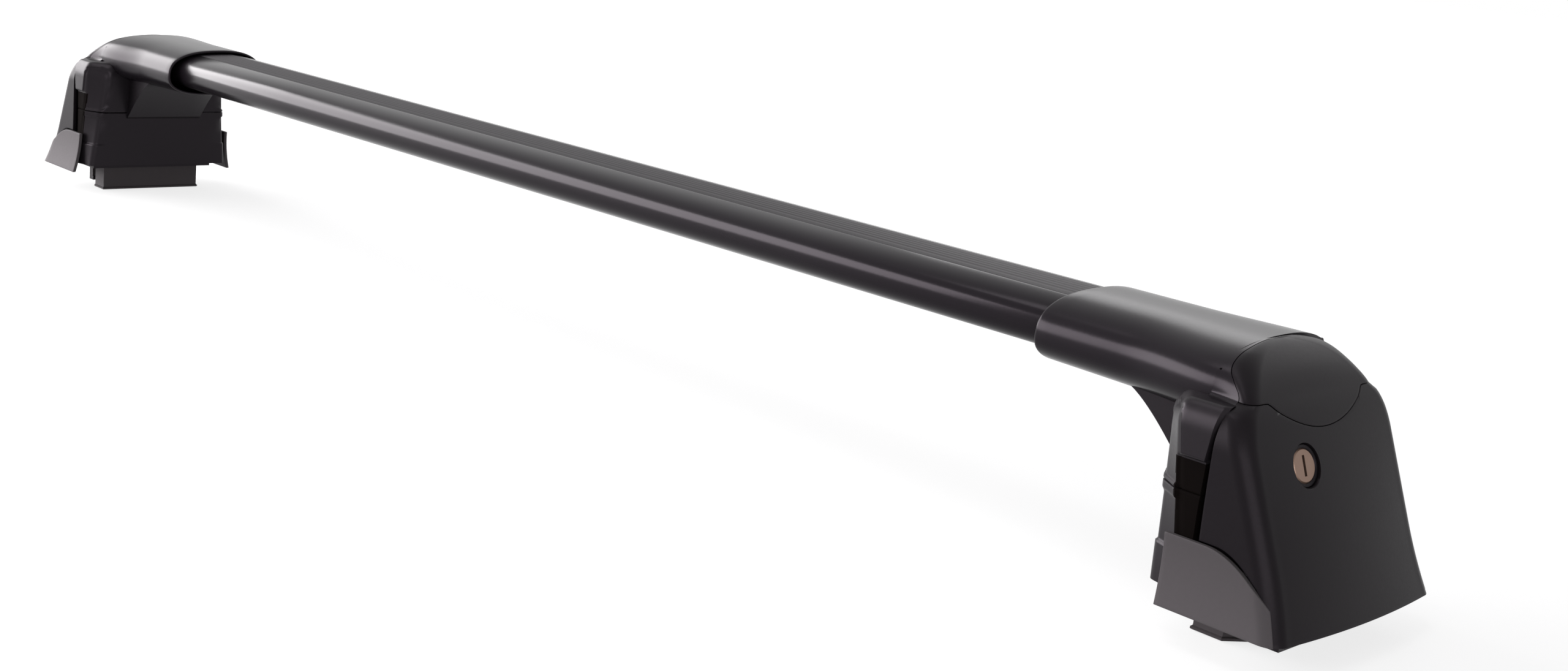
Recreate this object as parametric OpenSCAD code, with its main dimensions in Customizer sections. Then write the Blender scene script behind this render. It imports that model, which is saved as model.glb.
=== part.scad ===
// Roof rack crossbar: an aerofoil bar between two clamp feet, each with a lockable end cover.
// X runs along the bar, -Y is the rounded nose of the bar, Z is up, and the rests of the feet are at Z = 0.

/* [Crossbar] */
// Length of the aluminium bar, end to end
bar_l = 1028; // [900:1:1300]
// Width of the bar from nose to tail
bar_w = 65; // [60:0.5:70]
// Thickness of the bar
bar_t = 27.2; // [25:0.1:29]
// Height of the bar's middle above the rests
bar_z = 109.3; // [104:0.1:116]
// How much higher the tail of the bar is than its middle
bar_lift = 1.2; // [0:0.1:2]
// Wall of the bar
bar_wall = 2; // [1.5:0.1:2.4]

/* [Top slot] */
// Width of the rubber strip on top of the bar
strip_w = 28; // [24:0.5:30]
// Thickness of the rubber strip
strip_t = 2; // [1.5:0.1:2.5]
// Width of the slot's mouth
slot_mouth = 11; // [8:0.5:13]
// Width of the slot's wide chamber
slot_w = 20; // [16:0.5:22]
// Height of the slot's wide chamber
slot_h = 6.5; // [5:0.1:7]
// Thickness of the lips beside the mouth
slot_lip = 2.6; // [2:0.1:3]

/* [Sleeve and arm] */
// Length of the sleeve, from its open end to the hood seam
sleeve_l = 94; // [80:1:110]
// Distance from the hood seam back to the end of the bar
bar_inset = 4; // [3:0.5:8]
// Width of the sleeve over the bar
sleeve_w = 80; // [78:0.5:84]
// Height of the sleeve
sleeve_h = 37.4; // [36:0.2:39]
// How much the sleeve widens towards the hood, each side
sleeve_flare = 6; // [3:0.5:8]
// How much the sleeve's underside rises towards its open end
sleeve_rise = 3; // [1:0.25:3.5]
// How much further the sleeve reaches at its nose than at its tail
sleeve_bow = 6; // [2:0.5:8]
// Height of the raised side panels' top edge
panel_z = 104; // [100:0.5:105]
// Height of the seam between arm and housing
seam_z = 65; // [60:0.5:70]
// Wall of the arm's leg and of the housing
leg_wall = 3; // [2.5:0.1:4]
// Width of the web under the sleeve at its foot
gusset_w = 62; // [50:1:66]

/* [Lower housing] */
// Height of the housing's bottom edge
housing_z = 22; // [20:0.5:24]
// Gap between the housing's bottom edge and the end cover's inner face, each side
housing_gap = 2.2; // [1.8:0.1:3.6]
// Distance from the hood seam in to the housing's bottom edge
housing_in = 10.5; // [10:0.25:12]
// Width taken off each side per millimetre of height
side_slope = 0.125; // [0.11:0.005:0.14]
// Lean of the inboard wall per millimetre of height
inboard_slope = 0.1; // [0.06:0.01:0.12]
// How much the rear side face narrows towards its inboard end
rear_taper = 4.5; // [3:0.25:6]
// Distance from the hood seam in to where the side faces meet the slanted inboard corners
bevel_in = 1; // [-2:0.5:4]
// How far the side faces below the step stand back
recess_d = 2; // [1:0.1:2.2]
// Step in the arm's sides above which the raised side panels stand
step_z = 80; // [76:0.5:82]

/* [Hood and end cover] */
// Distance from the hood seam out to the cover's bottom edge
cover_reach = 60; // [58:0.5:62]
// Half the width of the cover over its sides
cover_w = 62; // [56:0.5:68]
// Height of the cover's bottom edge
cover_z = 15.5; // [13:0.5:16.5]
// Lean of the end face per millimetre of height
end_slope = 0.41; // [0.4:0.005:0.42]
// Height of the top of the hood and the sleeve
top_z = 125.8; // [125.2:0.1:126.6]
// Height at which the end face starts to curve over
brow_z = 95; // [92:0.5:98]
// Height at which the sides start to curve over
shoulder_z = 86; // [82:0.5:90]
// Wall of the hood and the end cover
cover_wall = 2.5; // [2:0.1:2.8]
// Radius of the upright corners of the cover
corner_r = 9; // [7:0.5:12]
// How much the cover's sides flare out at the bottom edge
foot_flare = 4; // [2:0.25:5]
// How much the end face bulges
end_bulge = 3; // [1:0.25:5]
// Height of the hood's lower edge at the sides
hood_side_z = 105.5; // [104:0.5:108]
// How far the hood's lower edge dips in the middle of the end face
hood_dip = 12; // [8:0.5:14]
// Gap between the hood and the end cover
cover_gap = 0.6; // [0.4:0.1:0.9]
// Distance from the hood seam out to the cover's upright side edge
cover_edge = 14.5; // [13:0.5:16]

/* [Lock] */
// Height of the lock on the end face
lock_z = 80.5; // [78:0.5:86]
// Sideways place of the lock on the end face
lock_y = -21; // [-23:0.5:-12]
// Radius of the turning lock core
core_r = 7.4; // [7:0.1:7.6]
// Radius of the lock barrel
barrel_r = 9.3; // [9:0.1:9.6]
// Depth of the round recess in front of the lock
lock_recess = 2.6; // [2:0.1:3]
// Length of the lock barrel
barrel_l = 13; // [12:0.25:14]
// Reach of the lock's cam from its axis
cam_l = 17; // [15:0.5:18]

/* [Skirts] */
// Thickness of the rubber skirts
skirt_t = 2.4; // [2:0.1:2.8]
// Height of the skirts' upper edge
skirt_z1 = 46.5; // [44:0.5:49]
// Distance from the hood seam out to where a skirt's upper edge turns down
skirt_bend = 27; // [22:0.5:32]

/* [Rest and clamp] */
// Width of the rubber rest along the bar
pad_l = 23; // [20:0.5:24]
// Half the length of the rubber rest across the bar
pad_w = 40; // [36:0.5:44]
// Height of the rubber rest
pad_h = 18; // [16:0.5:19]
// Distance from the hood seam out to the rest's inner face
pad_in = 5; // [3:0.5:6]
// Distance from the housing's side in to the base plate's edge
plate_in = 7.3; // [6.3:0.1:11.3]
// Thickness of the support casting's walls
support_t = 3; // [2.6:0.1:3.6]
// Half the width of the support casting
support_w = 30; // [26:0.5:34]
// Gap between the rest and the clamp jaw when the clamp is open
jaw_gap = 10; // [9:0.25:11]
// Travel of the clamp jaw
jaw_travel = 8; // [5:0.25:8.5]
// Half the width of the clamp jaw
jaw_w = 34; // [28:0.5:38]
// Height of the clamp bolt above the rests
bolt_z = 34; // [31:0.5:37]
// Radius of the clamp bolt's shank
bolt_r = 3; // [2.5:0.25:3.5]
// Length of the clamp bolt's shank
bolt_l = 42; // [41:0.5:44]

/* [Fasteners] */
// Radius of the bolts that hold the bar
bar_bolt_r = 3; // [2.5:0.25:3.5]
// Half the distance between the two bolts that hold the bar
bar_bolt_y = 8; // [7:0.25:8.5]
// Radius of the screws that join arm and housing
screw_r = 1.8; // [1.5:0.1:2]
// Distance from the housing's side in to the screws that join arm and housing
screw_in = 13.8; // [11.8:0.1:17.8]

/* [Hidden] */

// Clearances
fit = 0.25;
run = 0.06;
cut = 1;

// Roundness of the bar's and sleeve's outline, 1 for an ellipse and less for a boxier one
bar_round = 0.75;
sleeve_round = 0.8;
ring_n = 32;

// Places along X, all counted from the hood seam of the right foot
bar_end = bar_l / 2;
seam_x = bar_end + bar_inset;
sleeve_x = seam_x - sleeve_l;
pad_x0 = seam_x + pad_in;
pad_x1 = pad_x0 + pad_l;
jaw_t = 3.5;
liner_t = 2;
jaw_x0 = pad_x1 + jaw_gap + liner_t;
jaw_x1 = jaw_x0 + jaw_t;
washer_t = 1.5;
head_x = jaw_x1 + washer_t;
shelf_x1 = jaw_x0 - jaw_travel - 1;
side_w = cover_w;
housing_w = cover_w - cover_wall - housing_gap;
plate_w = housing_w - plate_in;
core_lap = 4;
bar_bottom = bar_z - bar_t / 2;
bar_top = bar_z + bar_t / 2;
sleeve_bottom = top_z - sleeve_h;
leg_x1 = seam_x + cover_edge - 1.6;
shelf_z = bolt_z + 13;
arm_floor = sleeve_bottom - 2;
flange_z = arm_floor - support_t;
bar_bolt_x = seam_x - 8.5;
web_x = pad_x0 + 5;
web_x1 = web_x + support_t;
plate_x1 = pad_x1 + 1;
flange_x0 = bar_bolt_x - 4.5;
housing_x1 = pad_x1 + 3.5;
gusset_l = 38;
gusset_z = 60.3;
rim_a0 = 40;
rim_a1 = 30;
rim_h = 0.7;
boss_r = 4;
boss_z = 50;
screw_up = 12;
screw_head_r = 3.4;
screw_head_h = 2.4;
peg_xs = [7.5, 25];
peg_z = 31;
peg_r = 2.4;
peg_in = 2;
skirt_out = 1.6;
skirt_gap = 0.8;
rib_y = cover_w - corner_r - 0.5;
rib_t = 2;
bead = 0.8;

// Lock: its place on the end face, its tilt and turn, and the key slot and cam
lock_x = seam_x + cover_reach - end_slope * (lock_z - cover_z) + end_bulge * 0.9;
lock_tilt = atan(end_slope);
lock_yaw = 5;
key_l = 9;
key_t = 1.6;
key_d = 7;
cam_t = 2;
cam_w = 8;
cam_shaft_r = 2.8;
cam_in = lock_recess + barrel_l + cam_t / 2;
catch_z = lock_z - cam_in * sin(lock_tilt);
catch_h = 12;
catch_t = 2.6;
catch_x1 = lock_x - cam_in * cos(lock_tilt) + 7.8;
catch_y0 = lock_y + 14;
catch_y1 = catch_y0 + 9;

// Clamp jaw, its bolt and nut
jaw_z0 = 2;
toe_l = 3;
toe_h = 3;
liner_h = 12;
tongue_z = shelf_z + fit;
tongue_t = 3;
tongue_l = 17;
tongue_w = 15;
bolt_head_r = 5.5;
bolt_head_h = 3.3;
socket_d = 2;
nut_w = 10;
nut_t = 5;
bar_head_r = 4.5;
nut_plate_t = 4;
bar_bolt_l = 20;
plug_t = 2.5;
spigot_l = 8;
colour_black = [0.12, 0.11, 0.12];
colour_gloss = [0.16, 0.15, 0.16];
colour_rubber = [0.32, 0.31, 0.32];
colour_steel = [0.62, 0.62, 0.64];
colour_lock = [0.62, 0.52, 0.46];

function sgn_pow(v, e) = sign(v) * pow(abs(v), e);
function mix(a, b, f) = a + (b - a) * f;
function smooth(f) = f <= 0 ? 0 : f >= 1 ? 1 : f * f * (3 - 2 * f);
function flat(rows) = [for (row = rows) for (p = row) p];

// Point of a rounded aerofoil outline at angle a, as [y, z]
function foil(a, hw, ht, zc, e, lift) =
    let (c = sgn_pow(cos(a), e), s = sgn_pow(sin(a), e))
    [hw * c, zc + ht * s + lift * c];
function foil_ring(hw, ht, zc, e, lift, n) = [for (i = [0:n - 1]) foil(360 * i / n, hw, ht, zc, e, lift)];
function bar_ring(off) =
    foil_ring(bar_w / 2 + off, bar_t / 2 + off, bar_z, bar_round, bar_lift, ring_n);

// One triangulated strip of faces between two rows of n points that start at a and b
function strip_faces(a, b, n, closed) =
    [for (i = [0:n - (closed ? 1 : 2)])
        let (j = (i + 1) % n)
        each [[a + i, b + j, a + j], [a + i, b + i, b + j]]];

// Solid between closed rings of points, each ring turning the same way
module loft(rings) {
    n = len(rings[0]);
    m = len(rings);
    sides = flat([for (k = [0:m - 2]) strip_faces(k * n, (k + 1) * n, n, true)]);
    first = [for (i = [0:n - 1]) i];
    last = [for (i = [n - 1:-1:0]) (m - 1) * n + i];
    polyhedron(flat(rings), concat([first, last], sides));
}

// Sheet of even rows of points with an outer and an inner face, closed along its four edges
module sheet(outer, inner) {
    rows = len(outer);
    n = len(outer[0]);
    base = rows * n;
    front = flat([for (k = [0:rows - 2]) strip_faces(k * n, (k + 1) * n, n, false)]);
    back = [for (f = front) [f[2] + base, f[1] + base, f[0] + base]];
    low = flat([for (i = [0:n - 2]) [[i, i + 1, base + i], [i + 1, base + i + 1, base + i]]]);
    top_row = (rows - 1) * n;
    high = flat([for (i = [0:n - 2])
        let (p = top_row + i)
        [[p + 1, p, base + p + 1], [p, base + p, base + p + 1]]]);
    start = flat([for (k = [0:rows - 2])
        let (p = k * n, q = p + n)
        [[q, p, base + q], [p, base + p, base + q]]]);
    end = flat([for (k = [0:rows - 2])
        let (p = k * n + n - 1, q = p + n)
        [[p, q, base + p], [q, base + q, base + p]]]);
    polyhedron(concat(flat(outer), flat(inner)), concat(front, back, low, high, start, end));
}

// Draws a part of the right foot, or its mirror image for the left foot
module foot(side) {
    mirror([side < 0 ? 1 : 0, 0, 0]) children();
}

// Chamber of the bar on side s of the middle webs, shrunk by off
module bar_chamber(s, off) {
    hw = bar_w / 2 - bar_wall - off;
    ht = bar_t / 2 - bar_wall - off;
    a0 = acos(pow((strip_w / 2 + bar_wall + off) / hw, 1 / bar_round));
    steps = 12;
    polygon([for (i = [0:steps])
        let (a = mix(-a0, a0, i / steps))
        foil(s > 0 ? a : 180 - a, hw, ht, bar_z, bar_round, bar_lift)]);
}

// Outline of the bar with its chambers and top slot, drawn as Y and Z
module bar_outline() {
    floor_z = bar_top - strip_t - slot_lip - slot_h - bar_wall;
    difference() {
        polygon(bar_ring(0));
        bar_chamber(1, 0);
        bar_chamber(-1, 0);
        translate([-strip_w / 2, bar_bottom + bar_wall])
            square([strip_w, floor_z - bar_bottom - bar_wall]);
        translate([-slot_w / 2, floor_z + bar_wall]) square([slot_w, slot_h]);
        translate([-slot_mouth / 2, floor_z]) translate([0, bar_wall]) square([slot_mouth, bar_t]);
        translate([-strip_w / 2, bar_top - strip_t]) square([strip_w, bar_t]);
    }
}

// Extrudes an outline drawn as Y and Z along X, from x0 to x1
module along_x(x0, x1) {
    translate([x0, 0, 0]) rotate([90, 0, 90]) linear_extrude(x1 - x0) children();
}

module crossbar() color(colour_black) difference() {
    along_x(-bar_end, bar_end) bar_outline();
    for (side = [-1, 1], y = [-bar_bolt_y, bar_bolt_y])
        translate([side * bar_bolt_x, y, bar_bottom - cut])
            cylinder(r = bar_bolt_r + fit, h = bar_wall + 2 * cut, $fn = 32);
}

// Rubber strip with two rows of lips that grip the slot's mouth
module slot_strip() color(colour_gloss) {
    half = bar_end - fit;
    top = foil_ring(bar_w / 2, bar_t / 2, bar_z, bar_round, bar_lift, 4 * ring_n);
    along_x(-half, half) difference() {
        intersection() {
            polygon(top);
            translate([-strip_w / 2 + fit, bar_top - strip_t]) square([strip_w - 2 * fit, strip_t]);
        }
        for (y = [-9, -3, 3, 9]) translate([y - 0.5, bar_top - 0.6]) square([1, 1]);
    }
    for (s = [-1, 1]) along_x(-half, half)
        polygon([
            [s * (slot_mouth / 2 - fit), bar_top - strip_t],
            [s * (slot_mouth / 2 - fit), bar_top - strip_t - slot_lip],
            [s * (slot_mouth / 2 - 2), bar_top - strip_t - slot_lip],
            [s * (slot_mouth / 2 - 2), bar_top - strip_t]]);
}

// Half-width of the inboard wall and its place along X, at height z and moved in by off
function leg_w(z, off) = housing_w - side_slope * (z - housing_z) - off;
function leg_x(z, off) = seam_x - housing_in - inboard_slope * (z - housing_z) + off;
screw_x = leg_x(boss_z, leg_wall) + screw_head_r + 0.5;
screw_y = leg_w(boss_z, 0) - screw_in;

// Half outline of the leg at height z: inboard wall, slanted corner and side face, sunk by side_off
function leg_half(z, x1, off, side_off, taper) =
    let (w = leg_w(z, off), x0 = leg_x(z, off), ws = side_w - side_off, xb = seam_x - bevel_in + off / 2)
    [[x1, ws, z], [xb + 2, ws - taper, z], [xb - 1.2, ws - 1.4 - taper, z], [x0 + 1.6, w + 0.9, z],
     [x0, w - 2, z]];
function leg_ring(z, x1, off, side_off) =
    let (front = leg_half(z, x1, off, side_off, 0))
    concat(leg_half(z, x1, off, side_off, rear_taper),
        [for (i = [len(front) - 1:-1:0]) [front[i][0], -front[i][1], z]]);

module leg_block(z0, z1, x1, off, side_off, steps) {
    loft([for (i = [0:steps]) leg_ring(mix(z0, z1, i / steps), x1, off, side_off)]);
}

// Four-sided block of the housing, starting set_in from the inboard wall
module core_block(z0, z1, x1, off, set_in) {
    loft([for (z = [z0, z1])
        let (w = leg_w(z, off), x0 = leg_x(z, off) + set_in)
        [[x1, w, z], [x0, w, z], [x0, -w, z], [x1, -w, z]]]);
}

// Half-width of the sleeve at x, which widens towards the hood
function sleeve_hw(x) =
    sleeve_w / 2 + sleeve_flare * smooth((x - sleeve_x) / sleeve_l * 1.8 - 0.8);
sleeve_rows = [sleeve_x, for (i = [0:4]) mix(sleeve_x + 0.45 * sleeve_l, seam_x, i / 4)];
function sleeve_foil(x, a, off) =
    let (f = (seam_x - x) / sleeve_l, ht = sleeve_h / 2 - (sin(a) < 0 ? sleeve_rise * f : 0),
         p = foil(a, sleeve_hw(x) + off, ht + off, top_z - sleeve_h / 2, sleeve_round, bar_lift))
    [x - sleeve_bow * pow(f, 4) * (1 - cos(a)) / 2, p[0], p[1]];

module sleeve_block() {
    loft([for (x = sleeve_rows) [for (i = [0:ring_n - 1]) sleeve_foil(x, 360 * i / ring_n, 0)]]);
}

// Thin raised rim along the tail side of the sleeve
module tail_rim() {
    loft([for (x = sleeve_rows)
        [sleeve_foil(x, rim_a1, -1), sleeve_foil(x, rim_a1, rim_h * 0.4), sleeve_foil(x, rim_a0, rim_h),
         sleeve_foil(x, rim_a0, -1)]]);
}

// Top of the raised side panels, rounded back into the sleeve
module panel_top() {
    steps = 4;
    rise = panel_z - arm_floor;
    loft([leg_ring(step_z, leg_x1, 0, 0), for (i = [0:steps])
        let (a = 90 * i / steps, in = 7 * (1 - cos(a)))
        leg_ring(arm_floor + rise * sin(a), leg_x1, in, in)]);
}

// Web that slopes from the sleeve's underside down over the top of the inboard wall
module gusset() {
    steps = 4;
    z1 = sleeve_bottom + 6;
    x1 = leg_x(seam_z, 0) - fit;
    slope = [for (i = [0:steps])
        let (f = i / steps)
        [x1 - gusset_l * (1 - f), z1 - (z1 - gusset_z) * pow(f, 1.35)]];
    translate([0, gusset_w / 2, 0]) rotate([90, 0, 0]) linear_extrude(gusset_w)
        polygon(concat(slope, [[x1, seam_z + fit], [x1 + leg_wall, seam_z + fit], [x1 + leg_wall, z1]]));
}

// The two places of the screws that join arm and housing
module screw_places() {
    for (y = [-screw_y, screw_y]) translate([screw_x, y, 0]) children();
}

// Boss round a housing screw, joined to the inboard wall
module screw_boss(z0) {
    screw_places() translate([0, 0, z0]) {
        cylinder(r = boss_r, h = arm_floor + cut - z0, $fn = 32);
        translate([-2 * boss_r, -boss_r, 0]) cube([2 * boss_r, 2 * boss_r, arm_floor + cut - z0]);
    }
}

module bar_bolt_places() {
    for (y = [-bar_bolt_y, bar_bolt_y]) translate([bar_bolt_x, y, 0]) children();
}

module arm(side) color(colour_black) foot(side) difference() {
    union() {
        sleeve_block();
        tail_rim();
        leg_block(seam_z + fit, arm_floor, leg_x1, 0, recess_d, 2);
        panel_top();
        gusset();
    }
    along_x(sleeve_x - sleeve_bow - cut, seam_x + 2 * cover_edge) polygon(bar_ring(fit));
    difference() {
        leg_block(seam_z - cut, arm_floor, leg_x1 + cut, leg_wall, leg_wall + recess_d, 1);
        screw_boss(seam_z - 2 * cut);
    }
    bar_bolt_places() translate([0, 0, arm_floor - cut]) cylinder(r = bar_bolt_r + fit, h = 14, $fn = 32);
    screw_places() translate([0, 0, seam_z - cut])
        cylinder(r = screw_r + run, h = screw_up + 2 * cut, $fn = 32);
    translate([seam_x, -cover_w, panel_z + fit]) cube([cover_edge, 2 * cover_w, top_z]);
}

module skirt_pegs(s, r, inner, outer) {
    for (x = peg_xs) translate([seam_x + x, s * inner, peg_z])
        rotate([s > 0 ? -90 : 90, 0, 0]) cylinder(r = r, h = outer - inner, $fn = 32);
}

module housing(side) color(colour_black) foot(side) difference() {
    union() {
        leg_block(housing_z, seam_z, leg_x1, 0, recess_d, 1);
        core_block(housing_z, seam_z, housing_x1, 0, leg_x1 - core_lap - leg_x(housing_z, 0));
    }
    difference() {
        core_block(housing_z + leg_wall, seam_z + cut, housing_x1 + cut, leg_wall, 0);
        screw_boss(boss_z);
    }
    translate([web_x - 1, -support_w - 1, housing_z - cut])
        cube([housing_x1, 2 * support_w + 2, leg_wall + 2 * cut]);
    screw_places() translate([0, 0, boss_z - cut]) cylinder(r = screw_r + fit, h = seam_z, $fn = 32);
    for (s = [-1, 1]) skirt_pegs(s, peg_r + fit, leg_w(peg_z, peg_in + fit), cover_w + cut);
}

// Leaning end face, its height above which it rounds over, and the half-width of hood and cover
function end_x(z) = seam_x + cover_reach - end_slope * (z - cover_z);
function round_over(z, z0, z1, e) = z <= z0 ? 1 : pow(max(0, 1 - pow((z - z0) / (z1 - z0), e)), 1 / e);
function pod_x(z, t) = seam_x + (end_x(z) - seam_x) * round_over(z, brow_z, top_z - t, 2) - t;
function pod_w(z, t) =
    cover_w * round_over(z, shoulder_z, top_z - t, 2) - t
    + foot_flare * pow(max(0, (skirt_z1 - z) / (skirt_z1 - cover_z)), 2);

// Columns of the hood and cover: side, corner, half of the end face, and the same mirrored
side_n = 5;
turn_n = 4;
face_n = 3;
half_n = side_n + turn_n + face_n;
col_n = 2 * half_n + 1;

// Point of the hood's and cover's form in column j at height z, with its side starting at x0
function pod_half(j, z, x0, t) =
    let (u = max(pod_x(z, t), x0 + 0.5), w = max(pod_w(z, t), 0.5),
         rx = min(corner_r - t, 0.9 * (u - x0)), ry = min(corner_r - t, 0.8 * w),
         a = 90 * (j - side_n) / turn_n, f = (j - side_n - turn_n) / face_n,
         bulge = end_bulge * min(1, (u - x0) / 30))
    j <= side_n ? [mix(x0, u - rx, j / side_n), -w * (1 + 0.004 * (1 - j / side_n)), z]
    : a <= 90 ? [u - rx + rx * sin(a), -w + ry - ry * cos(a), z]
    : [u + bulge * (1 - (1 - f) * (1 - f)), -(w - ry) * (1 - f), z];
function pod(j, z, x0, t) =
    j <= half_n ? pod_half(j, z, x0, t)
    : let (p = pod_half(col_n - 1 - j, z, x0, t)) [p[0], -p[1], z];

// Lower edge of the hood above the point at half-width y, and the cover's upright side edge
function hood_edge(y) =
    let (f = min(1, abs(y) / (0.75 * cover_w)))
    hood_side_z - hood_dip * pow(cos(90 * f), 1.2);
function cover_x0(z) =
    let (f = min(1, max(0, (z - skirt_z1) / (hood_side_z - skirt_z1))))
    seam_x + cover_edge - 0.4 * sin(180 * f);

// Upper edge of a skirt, and with it the cover's lower edge, at x
function skirt_top(x) =
    let (f = min(1, max(0, (x - seam_x - skirt_bend) / (cover_reach - skirt_bend))))
    cover_z + (skirt_z1 - cover_z) * sqrt(1 - f * f);
skirt_cols = side_n + turn_n - 1;
function on_skirt(j) = min(j, col_n - 1 - j) <= skirt_cols;
function cover_bottom(j) =
    on_skirt(j) ? skirt_top(pod(j, cover_z, cover_x0(cover_z), 0)[0]) + skirt_gap : cover_z;

cover_rows = 9;
function cover_face(t) =
    [for (k = [0:cover_rows]) [for (j = [0:col_n - 1])
        let (ref = pod(j, brow_z, cover_x0(brow_z), 0),
             z = mix(cover_bottom(j), hood_edge(ref[1]) - cover_gap, k / cover_rows))
        pod(j, z, cover_x0(z), t)]];

hood_rows = 9;
function hood_face(t) =
    let (x0 = seam_x + fit, peak = top_z - t)
    [for (k = [0:hood_rows]) [for (j = [0:col_n - 1])
        let (ref = pod(j, brow_z, x0, 0), low = hood_edge(ref[1]),
             z = mix(low, peak - 0.3, sin(90 * min(1, k / (hood_rows - 1)))),
             p = pod(j, z, x0, t))
        k < hood_rows ? p : [x0, p[1], peak]]];

module hood(side) color(colour_gloss) foot(side) sheet(hood_face(0), hood_face(cover_wall));

// Axis of the lock, pointing out of the end face
module lock_frame() {
    translate([lock_x, lock_y, lock_z]) rotate([0, 0, -lock_yaw]) rotate([0, 90 - lock_tilt, 0]) children();
}

module seat_rib(s) {
    z0 = housing_z + 5;
    z1 = seam_z - 7;
    translate([0, s * rib_y + rib_t / 2, 0]) rotate([90, 0, 0]) linear_extrude(rib_t) polygon([
        [housing_x1 + fit, z0], [end_x(z0) - cover_wall, z0],
        [end_x(z1) - cover_wall, z1], [housing_x1 + fit, z1]]);
}

module end_cover(side) color(colour_gloss) foot(side) difference() {
    union() {
        sheet(cover_face(0), cover_face(cover_wall));
        lock_frame() translate([0, 0, -lock_recess - barrel_l + 3])
            cylinder(r = barrel_r + 2, h = barrel_l - 2, $fn = 48);
        seat_rib(1);
        seat_rib(-1);
    }
    lock_frame() translate([0, 0, -2 * barrel_l]) cylinder(r = barrel_r + run, h = 4 * barrel_l, $fn = 48);
}

module lock_barrel(side) color(colour_gloss) foot(side) lock_frame()
    translate([0, 0, -lock_recess - barrel_l]) difference() {
        cylinder(r = barrel_r, h = barrel_l, $fn = 48);
        translate([0, 0, -cut]) cylinder(r = core_r + run, h = barrel_l + 2 * cut, $fn = 48);
    }

module lock_core(side) color(colour_lock) foot(side) lock_frame() {
    translate([0, 0, -lock_recess - barrel_l]) difference() {
        cylinder(r = core_r, h = barrel_l, $fn = 48);
        translate([-key_l / 2, -key_t / 2, barrel_l - key_d]) cube([key_l, key_t, key_d + cut]);
    }
    translate([0, 0, -lock_recess - barrel_l - cam_t - 1]) cylinder(r = cam_shaft_r, h = cam_t + 1, $fn = 32);
}

module lock_cam(side) color(colour_steel) foot(side) lock_frame()
    translate([0, 0, -lock_recess - barrel_l - cam_t]) difference() {
        union() {
            cylinder(r = cam_w / 2 + 1.5, h = cam_t, $fn = 32);
            translate([0, -cam_w / 2, 0]) cube([cam_l, cam_w, cam_t]);
        }
        translate([0, 0, -cut]) cylinder(r = cam_shaft_r + run, h = cam_t + 2 * cut, $fn = 32);
    }

// Rubber skirt that follows the cover's side and turns a little round its corner
skirt_rows = 4;
skirt_x0 = seam_x + 3;
function skirt_face(t) =
    [for (k = [0:skirt_rows]) [for (j = [0:skirt_cols])
        let (ref = pod(j, cover_z, skirt_x0, 0), z = mix(cover_z, skirt_top(ref[0]), k / skirt_rows))
        pod(j, z, skirt_x0, t)]];

module skirt(side, s) color(colour_rubber) foot(side) {
    mirror([0, s > 0 ? 1 : 0, 0]) sheet(skirt_face(-skirt_out), skirt_face(skirt_t - skirt_out));
    skirt_pegs(s, peg_r, leg_w(peg_z, peg_in), pod_w(peg_z, 0));
}

// Plan of the rubber rest, with its outboard corners cut off, wider by off
module rest_outline(off) {
    polygon([
        [pad_x0 - off, -pad_w - off], [pad_x1 - 8, -pad_w - off], [pad_x1 + off, 12 - pad_w],
        [pad_x1 + off, pad_w - 12], [pad_x1 - 8, pad_w + off], [pad_x0 - off, pad_w + off]]);
}

// Rubber block that rests on the roof rail, with a bead round its foot
module rest_pad(side) color(colour_rubber) foot(side) {
    linear_extrude(pad_h) rest_outline(0);
    linear_extrude(2 * bead) rest_outline(bead);
}

module base_plate(side) color(colour_steel) foot(side)
    translate([pad_x0 - 3, -plate_w, pad_h]) cube([plate_x1 - pad_x0 + 3, 2 * plate_w, housing_z - pad_h]);

// Casting that carries the bar's bolts, the clamp bolt's nut and the lock's catch
module support(side) color(colour_steel) foot(side) difference() {
    union() {
        translate([0, support_w, 0]) rotate([90, 0, 0]) linear_extrude(2 * support_w) polygon([
            [web_x, housing_z], [plate_x1, housing_z], [plate_x1, housing_z + support_t],
            [web_x1, housing_z + support_t], [web_x1, shelf_z - support_t], [shelf_x1, shelf_z - support_t],
            [shelf_x1, shelf_z], [web_x1, shelf_z], [web_x1, arm_floor], [flange_x0, arm_floor],
            [flange_x0, flange_z], [web_x, flange_z]]);
        translate([web_x, catch_y1 - support_t, catch_z - catch_h / 2])
            cube([catch_x1 - web_x, support_t, catch_h]);
        translate([catch_x1 - catch_t, catch_y0, catch_z - catch_h / 2])
            cube([catch_t, catch_y1 - catch_y0, catch_h]);
    }
    translate([web_x - cut, 0, bolt_z]) rotate([0, 90, 0])
        cylinder(r = bolt_r + fit, h = support_t + 2 * cut, $fn = 32);
    bar_bolt_places() translate([0, 0, flange_z - cut])
        cylinder(r = bar_bolt_r + fit, h = support_t + 2 * cut, $fn = 32);
}

// Jaw that closes on the rail's flange, with a hooked toe and a tongue that slides on the shelf
module clamp_jaw(side) color(colour_steel) foot(side) difference() {
    union() {
        translate([jaw_x0, -jaw_w, jaw_z0]) cube([jaw_t, 2 * jaw_w, tongue_z + tongue_t - jaw_z0]);
        translate([jaw_x0 - toe_l, -jaw_w, jaw_z0]) cube([toe_l, 2 * jaw_w, toe_h]);
        translate([jaw_x0 - tongue_l, -tongue_w, tongue_z]) cube([tongue_l, 2 * tongue_w, tongue_t]);
    }
    translate([jaw_x0 - cut, 0, bolt_z]) rotate([0, 90, 0])
        cylinder(r = bolt_r + fit, h = jaw_t + 2 * cut, $fn = 32);
}

module jaw_liner(side) color(colour_rubber) foot(side)
    translate([jaw_x0 - liner_t, -jaw_w, jaw_z0 + toe_h]) cube([liner_t, 2 * jaw_w, liner_h]);

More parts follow.
